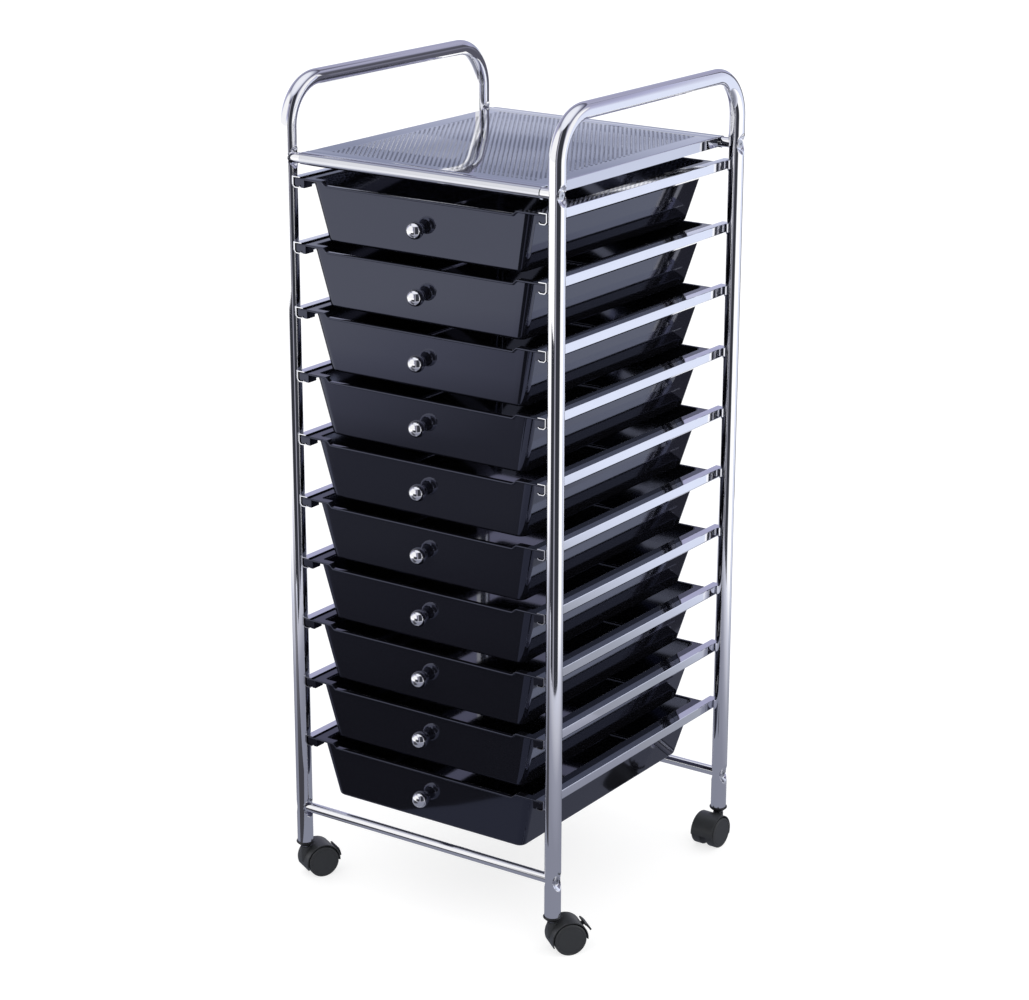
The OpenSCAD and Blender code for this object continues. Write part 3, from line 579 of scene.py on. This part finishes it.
def wheel(name, side, sign):
    # depth below the rim of the wheel, then distance from its outer face
    face = ((0, 1.7), (0.1, 1.1), (0.5, 0.5), (1.1, 0.15), (1.8, 0), (2.8, 0), (3.1, 0.3), (3.7, 0.35),
            (4.1, 0.1), (8, 0.05), (14, 0.1), (WHEEL_R - 0.01, 0.1))
    profile = [(3.1, WHEEL_IN), (WHEEL_R - 0.8, WHEEL_IN), (WHEEL_R - 0.2, WHEEL_IN + 0.3),
               (WHEEL_R, WHEEL_IN + 1)]
    profile += [(WHEEL_R - d, WHEEL_OUT - h) for d, h in face]
    node = "wheel_%s_%s" % (name, side)
    shape = Shape().loft([turn(round_at(r, sign * h), name) for r, h in profile])
    shape.build("caster_" + node, "roll_%s_%s" % (name, side), CASTER, [node], 28)


def lever(name):
    """Paddle over the hood, with an arm to its pin"""
    side = name.split("_")[1]
    cos_up, sin_up = (f(math.radians(LEVER_UP[side])) for f in (math.cos, math.sin))

    def tilt(points):
        x, y, z = (np.array(points, float) - (PIN_X, 0, PIN_Z)).T
        x, z = PIN_X + x * cos_up - z * sin_up, PIN_Z + x * sin_up + z * cos_up
        return turn(np.column_stack([x, y, z]), name)

    shape = Shape()
    rings = []
    # direction about the axle, and how far the edge is rounded off there
    along = [(4, 0.6), (4.6, 0.15), (5.6, 0)] + [(t, 0) for t in range(8, 28, 3)]
    along += [(29.4, 0), (30.4, 0.15), (31, 0.6)]
    for t, cut in along:
        half, low, high = 11 - cut, HOOD_R + 1 + 0.4 * cut, HOOD_R + 3.2 - 0.8 * cut
        section = rounded([(-half, low), (half, low), (half, high), (-half, high)], [0.3, 0.3, 0.8, 0.8])
        rings.append(tilt([polar(r, t, y) for y, r in section]))
    shape.loft(rings)
    arm = [(PIN_X, PIN_Z - 2.2)] + [polar(HOOD_R + 1.6, t)[::2] for t in (18, 29)] + [(PIN_X, PIN_Z + 2.7)]
    shape.loft([tilt([(x, y, z) for x, z in arm]) for y in (-1.6, 1.6)])
    shape.loft([tilt(round_at(r, y, PIN_X, PIN_Z, 32))
                for r, y in ((2.8, -1.6), (3, -1.4), (3, 1.4), (2.8, 1.6))])
    shape.build("brake_paddle_" + side, "brake_" + side, BLACK, ["brake_lever_" + side], 32)


for name in CORNERS:
    hood(name)
    wheel(name, "a", 1)
    wheel(name, "b", -1)
    if name.startswith("front"):
        lever(name)

# Radius and height of what is turned about the middle of each leg
SOCKET = [(4.1, 60), (4.1, 39.0), (5.4, 39.0), (6.2, 39.6), (7.2, 40.5), (8.9, 42.0), (10.3, 43.3),
          (10.8, 44.0), (10.95, 44.9), (10.8, 45.3), (10.45, 45.2), (10.2, 44.97), (8.2, 44.97), (8.2, 60)]
STEM = [(0.01, WHEEL_R + 2.6), (2.9, WHEEL_R + 2.6), (3.0, WHEEL_R + 3), (3.0, 38.27), (4.8, 38.27),
        (5.0, 38.4), (5.0, 38.8), (4.8, 38.97), (4.0, 38.97), (4.0, 68), (0.01, 68)]


def at_legs(profile):
    shape = Shape()
    for sx, sy, _ in CORNERS.values():
        turned(shape, np.array(profile) * MM, (sx * LEG_X, sy * LEG_Y, 0), (0, 0, 1), 48)
    return shape


at_legs(SOCKET).build("leg_sockets", "frame", BLACK, ["caster_sockets"], 40)
at_legs(STEM).build("swivel_stems", "frame", ZINC, ["caster_stems"], 40)


# Materials for the CAD pieces, most of which are hidden behind the ones above

CAD_LOOKS = (("drawer", SMOKE), ("knob_screw", ZINC), ("axle", ZINC), ("frame_screws", ZINC),
             ("caster_stems", ZINC), ("knob", BALL), ("caster_housing", CASTER), ("wheel", CASTER),
             ("brake", BLACK), ("caster_sockets", BLACK), ("runners", RUNNER), ("top_shelf", SHEET),
             ("", CHROME))
for name, obj in frame["nodes"].items():
    obj.data.materials.clear()
    obj.data.materials.append(next(m for start, m in CAD_LOOKS if name.startswith(start)))


# Floor, studio cards, light and camera


def stage_mesh(name, verts, faces, mat):
    mesh = bpy.data.meshes.new(name)
    mesh.from_pydata(verts, [], faces)
    mesh.materials.append(mat)
    obj = bpy.data.objects.new(name, mesh)
    bpy.context.collection.objects.link(obj)
    return obj


def ramp(tree, stops):
    """Colour ramp; a stop's colour has three numbers, or four where it lets light through"""
    node = tree.nodes.new("ShaderNodeValToRGB")
    elements = node.color_ramp.elements
    while len(elements) < len(stops):
        elements.new(1)
    for element, (pos, colour) in zip(elements, stops):
        element.position = pos
        element.color = colour if len(colour) == 4 else (*colour, 1)
    return node


def worked_out(tree, operation, a, b):
    """Math node on a socket and a second socket or a number"""
    node = tree.nodes.new("ShaderNodeMath")
    node.operation = operation
    tree.links.new(a, node.inputs[0])
    if isinstance(b, (int, float)):
        node.inputs[1].default_value = b
    else:
        tree.links.new(b, node.inputs[1])
    return node.outputs[0]


FLOOR_GREY = 0.42
FLOOR_GLOW = 0.72
FLOOR_HALF = 15


def floor():
    """Pale matt floor; camera, mirrors and glass all see it as the white background, with its shadow"""
    made = bpy.data.materials.new("pale_floor")
    made.use_nodes = True
    tree = made.node_tree
    shader = tree.nodes["Principled BSDF"]
    shader.inputs["Base Color"].default_value = (FLOOR_GREY, FLOOR_GREY, FLOOR_GREY, 1)
    shader.inputs["Roughness"].default_value = 0.9
    shader.inputs["Specular IOR Level"].default_value = 0.2
    path = tree.nodes.new("ShaderNodeLightPath")
    seen = worked_out(tree, "MAXIMUM", path.outputs["Is Camera Ray"], path.outputs["Is Glossy Ray"])
    seen = worked_out(tree, "MAXIMUM", seen, path.outputs["Is Transmission Ray"])
    glow = tree.nodes.new("ShaderNodeEmission")
    tree.links.new(worked_out(tree, "MULTIPLY", seen, FLOOR_GLOW), glow.inputs["Strength"])
    total = tree.nodes.new("ShaderNodeAddShader")
    tree.links.new(shader.outputs[0], total.inputs[0])
    tree.links.new(glow.outputs[0], total.inputs[1])
    tree.links.new(total.outputs[0], tree.nodes["Material Output"].inputs["Surface"])
    corners = [(x * FLOOR_HALF, y * FLOOR_HALF, 0) for x, y in ((-1, -1), (1, -1), (1, 1), (-1, 1))]
    stage_mesh("floor", corners, [(0, 1, 2, 3)], made)


def card(name, verts, faces, stops, source):
    """A studio card that only mirrors see; stops give colour and cover along one direction"""
    made = bpy.data.materials.new(name)
    made.use_nodes = True
    tree = made.node_tree
    tree.nodes.remove(tree.nodes["Principled BSDF"])
    colour = ramp(tree, stops)
    tree.links.new(source(tree), colour.inputs[0])
    glow = tree.nodes.new("ShaderNodeEmission")
    clear = tree.nodes.new("ShaderNodeBsdfTransparent")
    mix = tree.nodes.new("ShaderNodeMixShader")
    tree.links.new(colour.outputs["Color"], glow.inputs["Color"])
    tree.links.new(colour.outputs["Alpha"], mix.inputs[0])
    tree.links.new(clear.outputs[0], mix.inputs[1])
    tree.links.new(glow.outputs[0], mix.inputs[2])
    tree.links.new(mix.outputs[0], tree.nodes["Material Output"].inputs["Surface"])
    obj = stage_mesh(name, verts, faces, made)
    obj.visible_camera = obj.visible_diffuse = obj.visible_shadow = obj.visible_transmission = False
    return obj


# Mat and strip on the floor: radius, middle, length, and the strip's direction in degrees
MAT_R = 1.4
MAT_AT = (-0.10, -0.10)
STRIP_LONG = 1.7
STRIP_AZ = -35
STRIP_FROM = (0, -0.2, 0.004)
# The strip's near and far half widths, and where it begins
STRIP_NEAR, STRIP_FAR, STRIP_START = 0.16, 0.36, 0.17
MAT_STOPS = [(0, (0.235, 0.25, 0.31, 1)), (0.40, (0.25, 0.26, 0.32, 1)), (0.55, (0.32, 0.33, 0.40, 1)),
             (0.66, (0.52, 0.53, 0.60, 1)), (0.78, (0.66, 0.68, 0.78, 1)), (1, (0.95, 0.97, 1, 0))]
STRIP_STOPS = [(0, (0.05, 0.05, 0.06, 1)), (0.25, (0.06, 0.06, 0.07, 1)), (0.42, (0.12, 0.12, 0.14, 1)),
               (0.50, (0.18, 0.18, 0.2, 1)), (0.66, (0.22, 0.22, 0.25, 1)), (0.76, (0.5, 0.5, 0.56, 1)),
               (0.86, (0.8, 0.8, 0.88, 1)), (1, (1, 1, 1, 0))]


def from_middle(tree):
    coords = tree.nodes.new("ShaderNodeTexCoord")
    length = tree.nodes.new("ShaderNodeVectorMath")
    length.operation = "LENGTH"
    tree.links.new(coords.outputs["Object"], length.inputs[0])
    return worked_out(tree, "DIVIDE", length.outputs["Value"], MAT_R)


def away(tree):
    coords = tree.nodes.new("ShaderNodeTexCoord")
    split = tree.nodes.new("ShaderNodeSeparateXYZ")
    tree.links.new(coords.outputs["Object"], split.inputs[0])
    return worked_out(tree, "DIVIDE", split.outputs["Y"], STRIP_LONG)


def floor_cards():
    """Soft grey round under the cart, and a darker strip where the drawer fronts mirror the floor"""
    mat = [(x, y, 0.002) for x, y in circle(MAT_R, 64)]
    obj = card("grey_mat", mat, [tuple(range(64))], MAT_STOPS, from_middle)
    obj.location = (*MAT_AT, 0)
    verts = [(-STRIP_NEAR, STRIP_START, 0), (STRIP_NEAR, STRIP_START, 0), (STRIP_FAR, STRIP_LONG, 0),
             (-STRIP_FAR, STRIP_LONG, 0)]
    obj = card("front_strip", verts, [(0, 1, 2, 3)], STRIP_STOPS, away)
    obj.location = STRIP_FROM
    obj.rotation_euler = (0, 0, math.radians(180 + STRIP_AZ))


def arc(az_from, az_to, radius, n=40):
    """Plan points round the cart, azimuth 0 in front and growing to the right"""
    return [(radius * math.sin(a), -radius * math.cos(a)) for a in np.radians(np.linspace(az_from, az_to, n))]


def screen(name, plan, low, high, stops, upward=False):
    """Upright card over plan points; the stops run along it, or upward"""

    def place(tree):
        uv = tree.nodes.new("ShaderNodeUVMap")
        split = tree.nodes.new("ShaderNodeSeparateXYZ")
        tree.links.new(uv.outputs[0], split.inputs[0])
        return split.outputs["Y" if upward else "X"]

    n = len(plan)
    verts = [(x, y, z) for z in (low, high) for x, y in plan]
    obj = card(name, verts, [(i, i + 1, n + i + 1, n + i) for i in range(n - 1)], stops, place)
    uv = obj.data.uv_layers.new(name="place")
    for loop in obj.data.loops:
        k = loop.vertex_index
        uv.data[loop.index].uv = ((k % n) / (n - 1), k // n)


# What mirrors see above the floor, by the height of their direction
SKY = [(0, (1, 1, 1)), (0.07, (0.92, 0.94, 1)), (0.16, (0.62, 0.64, 0.82)), (0.26, (0.42, 0.42, 0.60)),
       (0.50, (0.37, 0.37, 0.50)), (0.61, (0.42, 0.42, 0.56)), (0.64, (0.12, 0.12, 0.17)),
       (0.69, (0.10, 0.10, 0.14)), (0.76, (0.34, 0.35, 0.46)), (0.87, (0.85, 0.87, 0.95)),
       (1, (0.95, 0.96, 1))]
# Azimuth and elevation of each soft light in degrees, and the cosines where it begins and is full
SOFT_LIGHTS = ((-34, 16, 0.72, 0.84), (118, 6, 0.80, 0.92))


def world():
    """Plain white to all but mirrors, which see a studio: white at the horizon, greyer above, soft lights"""
    studio = bpy.data.worlds.new("studio")
    bpy.context.scene.world = studio
    studio.use_nodes = True
    tree = studio.node_tree
    plain = tree.nodes["Background"]
    plain.inputs["Color"].default_value = (1, 1, 1, 1)
    plain.inputs["Strength"].default_value = 1.0
    coords = tree.nodes.new("ShaderNodeTexCoord")
    split = tree.nodes.new("ShaderNodeSeparateXYZ")
    tree.links.new(coords.outputs["Generated"], split.inputs[0])
    colour = ramp(tree, SKY)
    tree.links.new(split.outputs["Z"], colour.inputs[0])
    shade = colour.outputs["Color"]
    for azimuth, elevation, begins, full in SOFT_LIGHTS:
        a, e = math.radians(azimuth), math.radians(elevation)
        dot = tree.nodes.new("ShaderNodeVectorMath")
        dot.operation = "DOT_PRODUCT"
        light = (math.sin(a) * math.cos(e), -math.cos(a) * math.cos(e), math.sin(e))
        dot.inputs[1].default_value = light
        tree.links.new(coords.outputs["Generated"], dot.inputs[0])
        cover = tree.nodes.new("ShaderNodeMapRange")
        cover.inputs["From Min"].default_value = begins
        cover.inputs["From Max"].default_value = full
        tree.links.new(dot.outputs["Value"], cover.inputs["Value"])
        mix = tree.nodes.new("ShaderNodeMix")
        mix.data_type = "RGBA"
        tree.links.new(cover.outputs["Result"], mix.inputs[0])
        tree.links.new(shade, mix.inputs[6])
        mix.inputs[7].default_value = (1, 1, 1, 1)
        shade = mix.outputs[2]
    mirrored = tree.nodes.new("ShaderNodeBackground")
    tree.links.new(shade, mirrored.inputs["Color"])
    path = tree.nodes.new("ShaderNodeLightPath")
    pick = tree.nodes.new("ShaderNodeMixShader")
    tree.links.new(path.outputs["Is Glossy Ray"], pick.inputs[0])
    tree.links.new(plain.outputs[0], pick.inputs[1])
    tree.links.new(mirrored.outputs[0], pick.inputs[2])
    tree.links.new(pick.outputs[0], tree.nodes["World Output"].inputs["Surface"])


def lamp(name, at, aim, size, power):
    """Soft square lamp that mirrors don't show"""
    light = bpy.data.lights.new(name, "AREA")
    light.size = size
    light.energy = power
    obj = bpy.data.objects.new(name, light)
    obj.location = at
    obj.rotation_euler = (Vector(aim) - Vector(at)).to_track_quat("-Z", "Y").to_euler()
    obj.visible_glossy = False
    bpy.context.collection.objects.link(obj)


floor()
floor_cards()

# Upright cards, seen only in mirrors: dark ones give the tubes their lines, and a pale glowing one, which
# lights nothing, gives the runners and the drawers' sides their bright reflection
DARK = (0.035, 0.037, 0.046, 1)
GREY = (0.36, 0.36, 0.42, 1)
PALE = (0.80, 0.85, 1.0, 1)
BEHIND = (0.10, 0.10, 0.13, 1)
SLATE = (0.31, 0.335, 0.456, 1)
FADED = (0.44, 0.44, 0.64, 0)
screen("front_screen", arc(14, 80, 1.05), 0, 2.2,
       [(0, DARK), (0.06, DARK), (0.13, GREY), (0.22, GREY), (0.29, DARK), (0.86, DARK),
        (1, (0.3, 0.3, 0.34, 0))])
screen("front_board", arc(-4, 14, 1.05), 0, 0.5, [(0, DARK), (1, DARK)])
screen("front_left_board", arc(-22, -4, 1.05), 0.08, 0.5,
       [(0, (0.1, 0.1, 0.12, 0)), (0.4, DARK), (1, DARK)])
screen("side_board", [(0.222, 0.27), (1.52, 1.02)], 0, 1.25,
       [(0, (0.30, 0.31, 0.36, 1)), (0.10, (0.36, 0.38, 0.44, 1)), (0.22, (0.68, 0.72, 0.86, 1)),
        (0.32, PALE), (0.76, PALE), (0.84, (0.62, 0.64, 0.80, 1)), (0.90, (0.48, 0.49, 0.68, 1)),
        (1, FADED)], True)
screen("rear_board", arc(136, 178, 1.6), 0, 1.5,
       [(0, BEHIND), (0.78, BEHIND), (0.86, (0.3, 0.3, 0.42, 0.6)), (1, FADED)], True)
screen("edge_board", [(0.28, 0.42), (0.28, 1.05)], 0, 1.7,
       [(0, BEHIND), (0.50, BEHIND), (0.58, (0.20, 0.20, 0.26, 1)), (0.64, (0.08, 0.08, 0.10, 1)),
        (0.78, BEHIND), (0.90, (0.26, 0.26, 0.34, 0.8)), (1, (0.4, 0.4, 0.52, 0))], True)
screen("shelf_board", arc(182, 250, 1.3), 1.0, 1.5,
       [(0, (0.9, 0.92, 1, 0)), (0.18, (0.52, 0.55, 0.70, 1)), (0.28, SLATE), (0.5, SLATE),
        (0.75, (0.42, 0.43, 0.62, 1)), (1, FADED)], True)
world()
lamp("key", (2.4, -2.2, 2.6), (0, 0, 0.5), 1.4, 15)

# The photograph's view, which frames the cart left of the lens axis
PHOTO_W = 1029
FOCAL_PX = 2740.7
AXIS_PX = (617, 520)
PHOTO_MIDDLE = (514.5, 500)
CAMERA_AT = (1.7484, -2.5172, 1.4466)
AZIMUTH, ELEVATION, ROLL = (math.radians(d) for d in (32.56, 18.26, 0.81))

cam = bpy.data.cameras.new("camera")
cam.sensor_width = 36
cam.lens = FOCAL_PX / PHOTO_W * cam.sensor_width
cam.shift_x = (PHOTO_MIDDLE[0] - AXIS_PX[0]) / PHOTO_W
cam.shift_y = (AXIS_PX[1] - PHOTO_MIDDLE[1]) / PHOTO_W
obj = bpy.data.objects.new("camera", cam)
obj.location = Vector(CAMERA_AT) + Vector((X0, Y0, 0))
obj.rotation_euler = (Matrix.Rotation(AZIMUTH, 3, "Z") @ Matrix.Rotation(math.pi / 2 - ELEVATION, 3, "X")
                      @ Matrix.Rotation(ROLL, 3, "Z")).to_euler()
bpy.context.collection.objects.link(obj)
bpy.context.scene.camera = obj
bpy.context.scene.view_settings.view_transform = "Standard"
